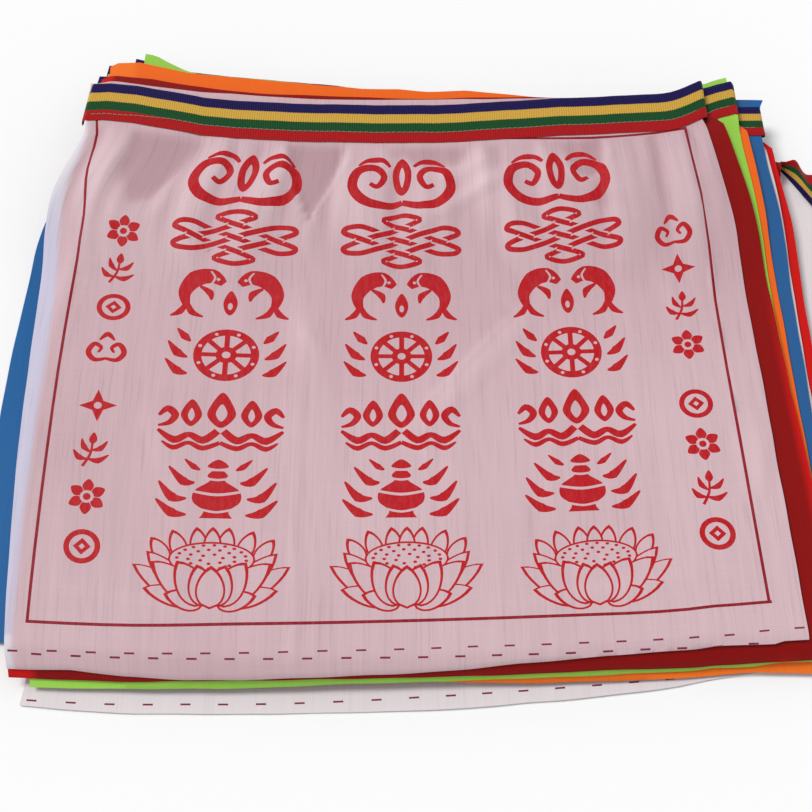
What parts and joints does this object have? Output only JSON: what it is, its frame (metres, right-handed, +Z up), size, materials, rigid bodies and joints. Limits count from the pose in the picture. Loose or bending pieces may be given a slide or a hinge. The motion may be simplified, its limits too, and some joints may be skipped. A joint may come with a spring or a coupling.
{
  "type": "folded string of prayer flags",
  "caption": "Landscape satin prayer flags in white, red, green, orange and blue, sewn along one striped woven ribbon and folded back and forth into a flat stack.",
  "frame": {"origin": "on the surface that the stack lies on, under the middle of the top cloth", "axes": "+X to the right along the ribbon, +Y from the hems towards the ribbon, +Z up"},
  "size_m": [0.4516, 0.3542, 0.0294],
  "materials": {
    "cloth_white": "thin white satin, slightly see-through, so it takes a pinkish grey from the red cloth under it",
    "cloth_red": "deep red satin",
    "cloth_green": "lime green satin",
    "cloth_orange": "bright orange satin",
    "cloth_blue": "mid blue satin",
    "ribbon": "ribbed woven ribbon in navy, gold, dark green and red stripes"
  },
  "bodies": {
    "root": {"flag_01_white": "cloth_white", "flag_02_red": "cloth_red", "flag_03_green": "cloth_green", "flag_04_orange": "cloth_orange", "flag_05_blue": "cloth_blue", "flag_06_white": "cloth_white", "flag_07_red": "cloth_red", "flag_08_green": "cloth_green", "flag_09_orange": "cloth_orange", "flag_10_blue": "cloth_blue", "flag_11_white": "cloth_white", "ribbon": "ribbon"}
  },
  "joints": []
}
